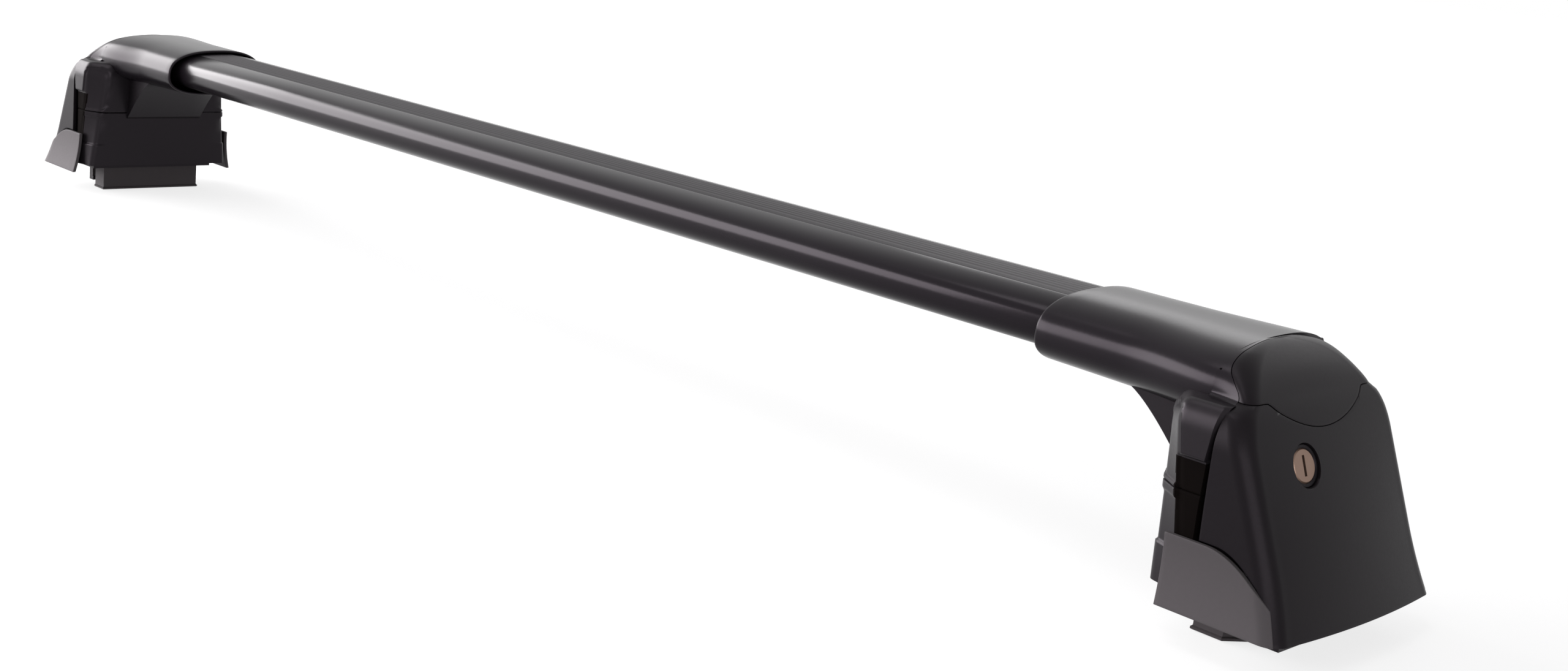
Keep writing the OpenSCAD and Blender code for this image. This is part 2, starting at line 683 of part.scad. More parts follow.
module clamp_bolt(side) color(colour_steel) foot(side) {
    translate([head_x - bolt_l, 0, bolt_z]) rotate([0, 90, 0]) cylinder(r = bolt_r, h = bolt_l, $fn = 32);
    translate([head_x, 0, bolt_z]) rotate([0, 90, 0]) difference() {
        cylinder(r = bolt_head_r, h = bolt_head_h, $fn = 32);
        translate([0, 0, bolt_head_h - socket_d]) cylinder(r = bolt_r * 0.75, h = socket_d + cut, $fn = 6);
    }
}

module clamp_washer(side) color(colour_steel) foot(side)
    translate([jaw_x1, 0, bolt_z]) rotate([0, 90, 0]) difference() {
        cylinder(r = bolt_head_r + 1.5, h = washer_t, $fn = 48);
        translate([0, 0, -cut]) cylinder(r = bolt_r + fit, h = washer_t + 2 * cut, $fn = 32);
    }

module clamp_nut(side) color(colour_steel) foot(side)
    translate([web_x - nut_t, 0, bolt_z]) rotate([0, 90, 0]) difference() {
        translate([-nut_w / 2, -nut_w / 2, 0]) cube([nut_w, nut_w, nut_t]);
        translate([0, 0, -cut]) cylinder(r = bolt_r + run, h = nut_t + 2 * cut, $fn = 32);
    }

module bar_bolts(side) color(colour_steel) foot(side) bar_bolt_places() difference() {
    union() {
        translate([0, 0, flange_z - bolt_head_h]) cylinder(r = bar_head_r, h = bolt_head_h, $fn = 32);
        translate([0, 0, flange_z]) cylinder(r = bar_bolt_r, h = bar_bolt_l, $fn = 32);
    }
    translate([0, 0, flange_z - bolt_head_h - cut])
        cylinder(r = bar_bolt_r * 0.75, h = socket_d + cut, $fn = 6);
}

module nut_plate(side) color(colour_steel) foot(side) difference() {
    translate([bar_bolt_x - bar_head_r, -strip_w / 2 + cut, bar_bottom + bar_wall])
        cube([2 * bar_head_r - 0.5, strip_w - 2 * cut, nut_plate_t]);
    bar_bolt_places() translate([0, 0, bar_bottom]) cylinder(r = bar_bolt_r + run, h = 12, $fn = 32);
}

module housing_screws(side) color(colour_steel) foot(side) screw_places() difference() {
    union() {
        translate([0, 0, boss_z - screw_head_h]) cylinder(r = screw_head_r, h = screw_head_h, $fn = 32);
        translate([0, 0, boss_z]) cylinder(r = screw_r, h = seam_z + screw_up - boss_z, $fn = 32);
    }
    translate([0, 0, boss_z - screw_head_h - cut])
        cylinder(r = screw_r * 0.6, h = screw_head_h * 0.6 + cut, $fn = 6);
}

// Plug with two spigots that closes the end of the bar
module bar_plug(side) color(colour_black) foot(side) {
    along_x(bar_end, bar_end + plug_t) polygon(bar_ring(-0.5));
    for (s = [-1, 1]) along_x(bar_end - spigot_l, bar_end) bar_chamber(s, fit);
}

crossbar();
slot_strip();
arm(1);  // right_arm
housing(1);  // right_housing
hood(1);  // right_hood
end_cover(1);  // right_end_cover
lock_barrel(1);  // right_lock_barrel
lock_core(1);  // right_lock_core
lock_cam(1);  // right_lock_cam
skirt(1, -1);  // right_front_skirt
skirt(1, 1);  // right_rear_skirt
rest_pad(1);  // right_rest_pad
base_plate(1);  // right_base_plate
support(1);  // right_support
clamp_jaw(1);  // right_clamp_jaw
jaw_liner(1);  // right_jaw_liner
clamp_bolt(1);  // right_clamp_bolt
clamp_washer(1);  // right_clamp_washer
clamp_nut(1);  // right_clamp_nut
bar_bolts(1);  // right_bar_bolts
nut_plate(1);  // right_nut_plate
housing_screws(1);  // right_housing_screws
bar_plug(1);  // right_bar_plug
arm(-1);  // left_arm
housing(-1);  // left_housing
hood(-1);  // left_hood
end_cover(-1);  // left_end_cover
lock_barrel(-1);  // left_lock_barrel
lock_core(-1);  // left_lock_core
lock_cam(-1);  // left_lock_cam
skirt(-1, -1);  // left_front_skirt
skirt(-1, 1);  // left_rear_skirt
rest_pad(-1);  // left_rest_pad
base_plate(-1);  // left_base_plate
support(-1);  // left_support
clamp_jaw(-1);  // left_clamp_jaw
jaw_liner(-1);  // left_jaw_liner
clamp_bolt(-1);  // left_clamp_bolt
clamp_washer(-1);  // left_clamp_washer
clamp_nut(-1);  // left_clamp_nut
bar_bolts(-1);  // left_bar_bolts
nut_plate(-1);  // left_nut_plate
housing_screws(-1);  // left_housing_screws
bar_plug(-1);  // left_bar_plug
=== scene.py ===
"""Looks of the roof rack crossbar: shaped shells, materials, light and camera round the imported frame."""
import math

import bmesh
import bpy
from mathutils import Matrix, Vector


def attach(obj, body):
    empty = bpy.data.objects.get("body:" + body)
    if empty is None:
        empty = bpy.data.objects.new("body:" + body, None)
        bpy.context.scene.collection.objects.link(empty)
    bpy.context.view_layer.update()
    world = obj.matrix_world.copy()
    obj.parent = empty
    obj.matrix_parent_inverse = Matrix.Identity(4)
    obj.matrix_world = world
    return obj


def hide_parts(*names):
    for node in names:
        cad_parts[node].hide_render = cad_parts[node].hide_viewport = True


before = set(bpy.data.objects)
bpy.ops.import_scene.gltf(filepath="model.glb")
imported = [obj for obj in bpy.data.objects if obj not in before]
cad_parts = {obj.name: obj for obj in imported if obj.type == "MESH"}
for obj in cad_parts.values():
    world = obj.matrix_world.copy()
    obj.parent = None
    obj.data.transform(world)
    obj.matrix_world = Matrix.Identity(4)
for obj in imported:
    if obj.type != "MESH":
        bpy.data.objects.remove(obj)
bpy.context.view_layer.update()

MM = 0.001

# Sizes in millimetres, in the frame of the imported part, and written for the right foot.
# Most repeat part.scad's values, and the shells repeat its formulas.

# Bar and its rubber strip
BAR_END = 514.0
BAR_W = 65.0
BAR_T = 27.2
BAR_Z = 109.3
BAR_TOP = BAR_Z + BAR_T / 2
BAR_ROUND = 0.75
LIFT = 1.2
STRIP_W = 28.0
SEAT_FIT = 0.35
SEAT_DEPTH = 2.0
SEAT_LIP = 0.05
STRIP_FIT = 0.3
STRIP_SINK = 0.1
STRIP_BASE = 1.9
STRIP_SHORT = 0.25
STRIP_COLS = 28
GROOVE_COLS = 4
GROOVE_DEPTH = 0.25

# Sleeve round the bar, up to its seam with the hood
SEAM = 518.0
TOP_Z = 125.8
SLEEVE_L = 94.0
SLEEVE_W = 80.0
SLEEVE_H = 37.4
SLEEVE_ROUND = 0.8
SLEEVE_FLARE = 6.0
FLARE_RATE = 1.8
FLARE_START = 0.8
SLEEVE_RISE = 3.0
SLEEVE_BOW = 6.0
SLEEVE_SIDES = 180
SLEEVE_ROWS = 24

# Fine ridge along the sleeve's rear shoulder: height, and angle and spread in degrees
RIDGE = 0.75
RIDGE_ANGLE = 37
RIDGE_SPREAD = 2.2

# Sleeve's mouth: bore round the bar, hollow behind the lip, and the curled lip as (along, outward)
BORE_FIT = 0.3
BORE_DEPTH = 30
BORE_ROWS = 2
MOUTH_PLACES = (24.0, 12.0, 1.5)
MOUTH_WALL = 1.8
SLEEVE_LIP = [(0.35, -1.75), (0.0, -1.3), (0.0, -0.75), (0.25, -0.35), (0.8, -0.1), (1.6, 0.0)]
NO_RIDGE = 1e-9

# Height levels and walls of the leg
HOUSING_Z = 22.0
SEAM_Z = 65.0
STEP_Z = 80.0
LEG_TURN_Z = 92.0
PANEL_Z = 104.0
HOUSING_W = 57.3
HOUSING_IN = 10.5
SIDE_SLOPE = 0.125
INBOARD_SLOPE = 0.1
SIDE_W = 62.0
REAR_TAPER = 4.5
LEG_WALL = 3.0
INNER_EDGE = 4
SEAM_INSET = 0.45
FOOT_INSET = 0.5
LEG_TURN_IN = 7
LEG_TOP_IN = 12
HOUSING_ROWS = 62
LEG_ROWS = 40
LEG_TURN_ROWS = 14

# Foot's outer form, shared by the hood and the end cover
COVER_REACH = 60.0
COVER_W = 62.0
COVER_Z = 15.5
END_SLOPE = 0.41
BROW_Z = 95.0
SHOULDER_Z = 86.0
WALL = 2.5
CORNER_R = 9.0
CORNER_SHARE_X = 0.9
CORNER_SHARE_Y = 0.8
FOOT_FLARE = 4.0
END_BULGE = 3.0
BULGE_OVER = 30
POD_MIN = 0.5
HOOD_SIDE_Z = 105.5
HOOD_DIP = 12.0
DIP_SPAN = 0.75
DIP_ROUND = 1.2
HOOD_REF = 14
PEAK_GAP = 0.02
COVER_GAP = 0.4
COVER_EDGE = 14.5
COVER_BOW = 0.4
SKIRT_GAP = 0.8
LEG_GAP = 1.6
LEG_X1 = SEAM + COVER_EDGE - LEG_GAP

# Distance of the leg side's outboard edge from LEG_X1, by height
LEG_EDGE = [(60, -2.6), (80, -2.0), (92, -0.5), (100, 0.5), (104, 0.9)]
LEG_RADII = [0, 3.0, 3.5, 0]
LEG_STEPS = [14, 16, 10]
LEG_EASE = 0.6
LEG_PROUD = 0.2
CORNER_STEPS = 6

# Line where the leg's side ends: distance in from the seam at a height, and its slope
PANEL_EDGE_IN = 6.4
PANEL_EDGE_SLOPE = 0.17
PANEL_EDGE_Z = 98.8

# Sunk places of the leg: depth, box in their plane, corner radius and width of the soft edge
SIDE_RECESS = (2.0, (-0.6, 90, 0, STEP_Z), 2.5, 1.2)
LOW_PANEL = (1.0, (50.5, 90, 39, 61), 2.0, 1.0)
HIGH_PANEL = (0.9, (47.5, 90, 67, 100), 6.0, 1.0)
SIDE_REACH = 3.0
SIDE_MIN_Y = 50
PANEL_REACH = 2
# Painted shade on the sunk side faces: how far it reaches past the side's edge, and its margin from the
# side and the step
SHADE_REACH = 1.5
SHADE_MARGIN = 1.0

# Housing's floor: half its plan from the outboard edge inwards, and the clamp's opening
HOUSING_X1 = 549.5
FLOOR_T = 3
FLOOR_LIFT = 0.1
FLOOR_W = HOUSING_W - 0.4
FLOOR_PLAN = [(HOUSING_X1, FLOOR_W), (LEG_X1 - 0.2, FLOOR_W), (LEG_X1 - 0.2, 59.5),
              (SEAM + 1, 57.0), (509.2, 55.5), (508.5, 52)]
FLOOR_HOLE = [(HOUSING_X1, -31.0), (527.0, -31.0), (527.0, 31.0), (HOUSING_X1, 31.0)]
SIDE_WALL_OUT = 2.6
SIDE_WALL_IN = 5.5
SIDE_WALL_LAP = 3
SIDE_WALL_Z = 2.5

# Gusset under the sleeve
GUSSET_L = 38
GUSSET_W = 31
GUSSET_TOP = 94.4
GUSSET_LOW = 60.6
GUSSET_BEND = 1.35
GUSSET_STEPS = 24
GUSSET_FIT = 0.25
GUSSET_LAP = 3

# Distance of the hood's inboard edge from the seam, by height
HOOD_SEAM = [(103.0, 14.9), (106.5, 14.7), (108.5, 13.2), (110.5, 10.8), (112.8, 8.2), (114.5, 6.2),
             (116.1, 4.8), (118.0, 3.8), (120.0, 3.1), (123.1, 2.3), (125.8, 1.4)]

# Crease where the sleeve's round nose runs on into the hood
CREASE_L = 36
CREASE_Z = 101.0
CREASE_H = 4.6
CREASE_MAX = 1.15
SOLVE_ROUNDS = 4

# Tongues of the sleeve under the hood's slanting edge
TONGUE_WALL = 2.0
TONGUE_Z0 = PANEL_Z - 1.5
TONGUE_Z1 = TOP_Z - 0.4
TONGUE_LAP = 0.4
TONGUE_GAP = 0.45
TONGUE_MIN_W = 0.3

# Columns round the foot's outline: side, rounded corner and half the end face
SIDE_N, TURN_N, FACE_N = 20, 16, 18
HALF_N = SIDE_N + TURN_N + FACE_N
COL_N = 2 * HALF_N + 1

# Skirts; the front one, 1, reaches further round the foot's corner than the rear one, -1
SKIRT_Z1 = 46.5
SKIRT_BEND = 27.0
SKIRT_X0 = SEAM + 3.0
SKIRT_LOW_X = 519.0
SKIRT_TOP_X = 516.6
SKIRT_TURN_N = {1: 7, -1: 5}
SKIRT_OUT = -1.6
SKIRT_BACK = 0.8
SKIRT_ROWS = 22
TIP_OUT = -0.15
TIP_N = 7
TIP_FADE_N = 4

# Cover's lower edge drops behind the skirt's tip: start and span as shares of the corner's columns
FADE_START = 0.12
FADE_SPAN = 0.25

# Lock in the end face
BULGE_AT_LOCK = 0.9
LOCK_Z = 80.5
LOCK_Y = -21.0
LOCK_X = SEAM + COVER_REACH - END_SLOPE * (LOCK_Z - COVER_Z) + END_BULGE * BULGE_AT_LOCK
LOCK_YAW = math.radians(5)
LOCK_FACE = -2.6
LOCK_BASE = LOCK_FACE - 13
CORE_R = 7.4
BARREL_R = 9.3
KEY_SLOT = ((-4.5, -0.8, LOCK_FACE - 7), (4.5, 0.8, LOCK_FACE + 2))

# Profiles about the lock's axis, as radius and height above the end face
HOLE_PROFILE = [(BARREL_R + 0.1, -20), (BARREL_R + 0.1, -2.4), (BARREL_R + 0.35, -1.2),
                (BARREL_R + 1.2, -0.3), (BARREL_R + 2.6, 0.9), (BARREL_R + 4.0, 4.0)]
BARREL_PROFILE = [(BARREL_R, LOCK_BASE), (BARREL_R, LOCK_FACE - 0.5), (BARREL_R - 0.4, LOCK_FACE),
                  (CORE_R + 0.5, LOCK_FACE), (CORE_R + 0.1, LOCK_FACE - 0.4), (CORE_R + 0.1, LOCK_BASE)]
CORE_PROFILE = [(CORE_R, LOCK_BASE), (CORE_R, LOCK_FACE - 0.5), (CORE_R - 0.5, LOCK_FACE)]

# Rest pad, and its profile as (outward, height)
PAD_X0 = 523.0
PAD_X1 = 546.0
PAD_W = 40.0
PAD_H = 18.0
PAD_CUT_X = 8
PAD_CUT_Y = 12
PAD_PROFILE = [(0.2, 0), (0.8, 0.4), (0.8, 1.4), (0.1, 2.0), (0, 2.6), (0, PAD_H - 0.6), (-0.5, PAD_H)]

# Faces of a box whose corners come from box_corners
BOX_FACES = [(0, 1, 3, 2), (4, 6, 7, 5), (0, 4, 5, 1), (2, 3, 7, 6), (0, 2, 6, 4), (1, 5, 7, 3)]


def mix(a, b, f):
    return a + (b - a) * f


def smooth(f):
    f = min(1.0, max(0.0, f))
    return f * f * (3 - 2 * f)


def spow(v, e):
    """A power that keeps the sign."""
    return math.copysign(abs(v) ** e, v)


def lerp_table(table, v):
    """Value at v on the straight lines between a short table's points."""
    if v <= table[0][0]:
        return table[0][1]
    for (a, p), (b, q) in zip(table, table[1:]):
        if v <= b:
            return mix(p, q, (v - a) / (b - a))
    return table[-1][1]


# Mesh building

def make_object(name, verts, faces, side=1):
    """A mesh from points in millimetres; side -1 mirrors it to the left foot."""
    mesh = bpy.data.meshes.new(name)
    mesh.from_pydata([(x * side * MM, y * MM, z * MM) for x, y, z in verts], [], faces)
    mesh.update()
    bm = bmesh.new()
    bm.from_mesh(mesh)
    bmesh.ops.remove_doubles(bm, verts=bm.verts, dist=1e-6)
    bmesh.ops.recalc_face_normals(bm, faces=bm.faces)
    bm.to_mesh(mesh)
    bm.free()
    obj = bpy.data.objects.new(name, mesh)
    bpy.context.collection.objects.link(obj)
    return obj


def grid_faces(rows, cols, start=0, wrap=False):
    faces = []
    for k in range(rows - 1):
        for j in range(cols if wrap else cols - 1):
            a, b = start + k * cols + j, start + k * cols + (j + 1) % cols
            faces.append((a, b, b + cols, a + cols))
    return faces


def skin(name, outer, inner, side=1):
    """A closed sheet between an outer and an inner grid of points."""
    rows, cols = len(outer), len(outer[0])
    verts = [p for row in outer for p in row] + [p for row in inner for p in row]
    n = rows * cols
    faces = grid_faces(rows, cols)
    faces += [tuple(reversed(f)) for f in grid_faces(rows, cols, n)]
    for j in range(cols - 1):
        faces.append((j + 1, j, n + j, n + j + 1))
        a = (rows - 1) * cols + j
        faces.append((a, a + 1, n + a + 1, n + a))
    for k in range(rows - 1):
        a = k * cols
        faces.append((a, a + cols, n + a + cols, n + a))
        b = k * cols + cols - 1
        faces.append((b + cols, b, n + b, n + b + cols))
    return make_object(name, verts, faces, side)


def tube(name, rings, side=1, caps=True):
    """A solid through rings of points; without caps its two ends stay open."""
    rows, cols = len(rings), len(rings[0])
    verts = [p for ring in rings for p in ring]
    faces = grid_faces(rows, cols, wrap=True)
    if caps:
        faces.append(tuple(range(cols)))
        faces.append(tuple(range((rows - 1) * cols, rows * cols)))
    return make_object(name, verts, faces, side)


def box_corners(low, high):
    return [(x, y, z) for x in (low[0], high[0]) for y in (low[1], high[1]) for z in (low[2], high[2])]


def close_ring(obj):
    """Joins the last ring of an open tube to its first."""
    bm = bmesh.new()
    bm.from_mesh(obj.data)
    edges = [e for e in bm.edges if len(e.link_faces) == 1]
    bmesh.ops.bridge_loops(bm, edges=edges)
    bmesh.ops.recalc_face_normals(bm, faces=bm.faces)
    bm.to_mesh(obj.data)
    bm.free()


def apply_modifiers(obj):
    graph = bpy.context.evaluated_depsgraph_get()
    mesh = bpy.data.meshes.new_from_object(obj.evaluated_get(graph))
    obj.modifiers.clear()
    obj.data = mesh
    return obj


def soften(obj, width, segments, angle=35):
    """Rounds the edges that are sharper than the angle."""
    mod = obj.modifiers.new("round", "BEVEL")
    mod.width = width * MM
    mod.segments = segments
    mod.limit_method = "ANGLE"
    mod.angle_limit = math.radians(angle)
    mod.harden_normals = False
    return apply_modifiers(obj)


def cut_out(obj, tool):
    """Takes the tool's shape out of the piece and removes the tool."""
    mod = obj.modifiers.new("cut", "BOOLEAN")
    mod.operation = "DIFFERENCE"
    mod.solver = "EXACT"
    mod.object = tool
    apply_modifiers(obj)
    bpy.data.objects.remove(tool)
    return obj


def finish_piece(obj, body, node, material, smooth_angle=40):
    """Gives a piece its finish and ties it to the frame."""
    obj.data.materials.clear()
    obj.data.materials.append(material)
    for poly in obj.data.polygons:
        poly.use_smooth = True
    obj.data.set_sharp_from_angle(angle=math.radians(smooth_angle))
    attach(obj, body)
    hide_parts(node)
    return obj


# Materials

# Grain: detail of the noise, and its height in metres
GRAIN_DETAIL = 3.0
GRAIN_HEIGHT = 0.0005
# Tint of the highlights on plastic and rubber
SHINE_TINT = (1.0, 0.88, 0.99, 1)


def new_material(name):
    mat = bpy.data.materials.new(name)
    mat.use_nodes = True
    nodes, links = mat.node_tree.nodes, mat.node_tree.links
    nodes.clear()
    out = nodes.new("ShaderNodeOutputMaterial")
    shader = nodes.new("ShaderNodeBsdfPrincipled")
    links.new(shader.outputs["BSDF"], out.inputs["Surface"])
    return mat, nodes, links, shader


def surface(name, color, roughness, metallic=0.0, grain=900.0, bump=0.02, spread=0.05, specular=0.5):
    """A plain finish with a fine grain in its height and its gloss."""
    mat, nodes, links, shader = new_material(name)
    shader.inputs["Base Color"].default_value = (*color, 1)
    shader.inputs["Metallic"].default_value = metallic
    shader.inputs["Specular IOR Level"].default_value = specular
    if metallic == 0:
        shader.inputs["Specular Tint"].default_value = SHINE_TINT
    coords = nodes.new("ShaderNodeTexCoord")
    noise = nodes.new("ShaderNodeTexNoise")
    noise.inputs["Scale"].default_value = grain
    noise.inputs["Detail"].default_value = GRAIN_DETAIL
    links.new(coords.outputs["Object"], noise.inputs["Vector"])
    ramp = nodes.new("ShaderNodeMapRange")
    ramp.inputs["To Min"].default_value = max(0.0, roughness - spread)
    ramp.inputs["To Max"].default_value = min(1.0, roughness + spread)
    links.new(noise.outputs["Fac"], ramp.inputs["Value"])
    links.new(ramp.outputs["Result"], shader.inputs["Roughness"])
    relief = nodes.new("ShaderNodeBump")
    relief.inputs["Strength"].default_value = bump
    relief.inputs["Distance"].default_value = GRAIN_HEIGHT
    links.new(noise.outputs["Fac"], relief.inputs["Height"])
    links.new(relief.outputs["Normal"], shader.inputs["Normal"])
    return mat


BAR_BLACK = surface("bar_black", (0.007, 0.0056, 0.0072), 0.2, spread=0.03, specular=0.15)
STRIP_BLACK = surface("strip_black", (0.008, 0.0067, 0.0083), 0.5, specular=0.18)
SLEEVE_BLACK = surface("sleeve_black", (0.007, 0.0056, 0.0072), 0.23, grain=700, spread=0.03,
                       specular=0.15)
BODY_BLACK = surface("body_black", (0.008, 0.0067, 0.008), 0.34, grain=700, specular=0.17)
COVER_BLACK = surface("cover_black", (0.0062, 0.0051, 0.0061), 0.38, grain=700, specular=0.1)
GREY_RUBBER = surface("grey_rubber", (0.048, 0.044, 0.045), 0.62, specular=0.3, grain=500, bump=0.05)
PAD_RUBBER = surface("pad_rubber", (0.026, 0.023, 0.023), 0.6, specular=0.3, grain=500, bump=0.05)
# Painted shade: near-black matt colour for the sunk side faces below the step, standing in for the shade
# in that recess
RECESS_PAINTED_SHADE = surface("recess_painted_shade", (0.004, 0.003, 0.0027), 0.8, specular=0.02)
LOCK_METAL = surface("lock_metal", (0.22, 0.145, 0.11), 0.38, metallic=0.75, grain=300, bump=0.05)
STEEL = surface("steel", (0.52, 0.52, 0.53), 0.34, metallic=1.0, grain=500, bump=0.05)
CAST = surface("cast_aluminium", (0.44, 0.44, 0.45), 0.5, metallic=1.0, grain=250, bump=0.12)

# Finishes of the CAD pieces that are shown as they are, by the end of their names
CAD_LOOKS = {
    "lock_cam": STEEL, "base_plate": BODY_BLACK, "support": CAST, "clamp_jaw": BODY_BLACK,
    "jaw_liner": PAD_RUBBER, "clamp_bolt": STEEL, "clamp_washer": STEEL, "clamp_nut": STEEL,
    "bar_bolts": STEEL, "nut_plate": STEEL, "housing_screws": STEEL, "bar_plug": BODY_BLACK,
}


# Form of the bar and the sleeve

def foil(a, hw, ht, zc, e):
    """Y and Z at angle a of a rounded outline that stands LIFT higher at its rear and lower in front."""
    c, s = spow(math.cos(a), e), spow(math.sin(a), e)
    return hw * c, zc + ht * s + LIFT * c


def bar_outline(count=160):
    """Outline of the bar with the seat of its rubber strip, as Y and Z."""
    points = []
    edge = STRIP_W / 2
    for i in range(count):
        y, z = foil(2 * math.pi * i / count, BAR_W / 2, BAR_T / 2, BAR_Z, BAR_ROUND)
        if z > BAR_Z and abs(y) < edge + SEAT_FIT:
            continue
        points.append((y, z))
    top = [p for p in points if p[1] > BAR_Z]
    left = min(top, key=lambda p: abs(p[0] + edge))
    right = min(top, key=lambda p: abs(p[0] - edge))
    deep = BAR_TOP - SEAT_DEPTH
    seat = [(edge, right[1] + SEAT_LIP), (edge, deep), (-edge, deep), (-edge, left[1] + SEAT_LIP)]
    start = points.index(right)
    return points[:start + 1] + seat + points[start + 1:]


def build_bar():
    outline = bar_outline()
    rings = [[(f * BAR_END, y, z) for y, z in outline] for f in (-1, -0.5, 0, 0.5, 1)]
    obj = tube("bar_skin", rings)
    soften(obj, width=0.35, segments=2, angle=50)
    finish_piece(obj, "rack", "crossbar", BAR_BLACK, smooth_angle=30)


def build_strip():
    """Strip that follows the bar's top, with shallow grooves along it."""
    edge = STRIP_W / 2 - STRIP_FIT
    top = []
    for i in range(STRIP_COLS + 1):
        y = mix(edge, -edge, i / STRIP_COLS)
        a = math.acos(spow(y / (BAR_W / 2), 1 / BAR_ROUND))
        z = foil(a, BAR_W / 2, BAR_T / 2, BAR_Z, BAR_ROUND)[1] - STRIP_SINK
        grooved = GROOVE_COLS <= i <= STRIP_COLS - GROOVE_COLS
        groove = GROOVE_DEPTH * (0.5 - 0.5 * math.cos(2 * math.pi * i / GROOVE_COLS)) if grooved else 0
        top.append((y, z - groove))
    outline = top + [(-edge, BAR_TOP - STRIP_BASE), (edge, BAR_TOP - STRIP_BASE)]
    rings = [[(x, y, z) for y, z in outline] for x in (-BAR_END + STRIP_SHORT, BAR_END - STRIP_SHORT)]
    obj = tube("strip_skin", rings)
    finish_piece(obj, "rack", "slot_strip", STRIP_BLACK, smooth_angle=30)


def sleeve_half_width(x):
    flare = smooth((x - SEAM + SLEEVE_L) / SLEEVE_L * FLARE_RATE - FLARE_START)
    return SLEEVE_W / 2 + SLEEVE_FLARE * flare


def sleeve_point(x, a, off):
    """Point of the sleeve's outer form at angle a, moved out by off."""
    f = (SEAM - x) / SLEEVE_L
    rise = SLEEVE_RISE * f if math.sin(a) < 0 else 0
    turn = math.degrees(a) % 360
    ridge = RIDGE * math.exp(-((turn - RIDGE_ANGLE) / RIDGE_SPREAD) ** 2) if off == 0 else 0
    hw = sleeve_half_width(x) + off + ridge
    ht = SLEEVE_H / 2 - rise + off + ridge
    y, z = foil(a, hw, ht, TOP_Z - SLEEVE_H / 2, SLEEVE_ROUND)
    return x - SLEEVE_BOW * f ** 4 * (1 - math.cos(a)) / 2, y, z


def sleeve_rings():
    """Rings from the bore at the seam to the mouth, over its lip and back along the outside."""
    angles = [2 * math.pi * i / SLEEVE_SIDES for i in range(SLEEVE_SIDES)]
    x0 = SEAM - SLEEVE_L
    rings = []
    for i in range(BORE_ROWS + 1):
        hw, ht = BAR_W / 2 + BORE_FIT, BAR_T / 2 + BORE_FIT
        x = mix(SEAM - BORE_FIT, x0 + BORE_DEPTH, i / BORE_ROWS)
        rings.append([(x, *foil(a, hw, ht, BAR_Z, BAR_ROUND)) for a in angles])
    for dx in MOUTH_PLACES:
        rings.append([sleeve_point(x0 + dx, a, -MOUTH_WALL) for a in angles])
    for dx, off in SLEEVE_LIP:
        points = [sleeve_point(x0, a, off - NO_RIDGE) for a in angles]
        rings.append([(x + dx, y, z) for x, y, z in points])
    for i in range(1, SLEEVE_ROWS + 1):
        x = mix(x0 + SLEEVE_LIP[-1][0], SEAM, i / SLEEVE_ROWS)
        rings.append([sleeve_point(x, a, 0) for a in angles])
    return rings


def build_sleeve(side, prefix):
    obj = tube(prefix + "sleeve_skin", sleeve_rings(), side, caps=False)
    close_ring(obj)
    finish_piece(obj, "rack", prefix + "arm", SLEEVE_BLACK, smooth_angle=35)
    for name, s in (("front", -1), ("rear", 1)):
        tongue = skin(f"{prefix}{name}_tongue", tongue_rows(0, s), tongue_rows(TONGUE_WALL, s), side)
        finish_piece(tongue, "rack", prefix + "arm", SLEEVE_BLACK, smooth_angle=50)


# Form of the legs: arm and housing

def leg_w(z):
    return HOUSING_W - SIDE_SLOPE * (z - HOUSING_Z)


def leg_x(z):
    return SEAM - HOUSING_IN - INBOARD_SLOPE * (z - HOUSING_Z)


def panel_edge(z):
    """Place along X where the side face ends and the slanted inboard corner begins."""
    return SEAM - PANEL_EDGE_IN + PANEL_EDGE_SLOPE * (PANEL_EDGE_Z - z)


def leg_path(z, taper, inset=0.0):
    """Corner points of half the leg's outline, from the side's outboard edge to the inboard middle."""
    w, x0, ws = leg_w(z) - inset, leg_x(z) + inset, SIDE_W - inset
    xb = panel_edge(z) + inset / 2
    x1 = LEG_X1 + lerp_table(LEG_EDGE, z)
    return [(x1, ws), (xb + LEG_EASE, ws - taper), (x0 + LEG_EASE, w + LEG_PROUD), (x0, 0.0)]


def corner_ends(points, radii):
    """For each point of a path, where its rounding starts, the point itself and where it ends."""
    ends = []
    for i in range(len(points)):
        p = Vector(points[i])
        if 0 < i < len(points) - 1:
            a, b, r = Vector(points[i - 1]), Vector(points[i + 1]), radii[i]
            ends.append((p + (a - p).normalized() * r, p, p + (b - p).normalized() * r))
        else:
            ends.append((p, p, p))
    return ends


def rounded_path(points, radii, steps):
    """Samples a path of straight lines with rounded corners; steps is the count on each line."""
    ends = corner_ends(points, radii)
    last = len(points) - 1
    out = []
    for i in range(len(points)):
        if 0 < i < last:
            a, p, b = ends[i]
            for k in range(CORNER_STEPS + 1):
                f = k / CORNER_STEPS
                out.append(tuple((1 - f) ** 2 * a + 2 * f * (1 - f) * p + f * f * b))
        if i < last:
            a, b = ends[i][2], ends[i + 1][0]
            count = steps[i]
            for k in range(count + 1) if i == 0 else range(1, count):
                out.append(tuple(a.lerp(b, k / count)))
            if i == last - 1:
                out.append(tuple(b))
    return out


def sunk(place, u, v):
    """Depth of a sunk place at a point of its plane, 0 outside it."""
    depth, (u0, u1, v0, v1), r, soft = place
    du = max(u0 + r - u, u - (u1 - r), 0)
    dv = max(v0 + r - v, v - (v1 - r), 0)
    return depth * smooth(0.5 - (math.hypot(du, dv) - r) / soft)


def leg_depth(x, y, z):
    """How far the leg's skin stands back at a point: side recess and the sunk panels on its corners."""
    edge = panel_edge(z)
    across = abs(y)
    depth = 0.0
    if x > edge - SIDE_REACH and across > SIDE_MIN_Y:
        depth = sunk(SIDE_RECESS, x - edge, z)
    if x < edge + PANEL_REACH:
        depth = max(depth, sunk(LOW_PANEL, across, z), sunk(HIGH_PANEL, across, z))
    return depth


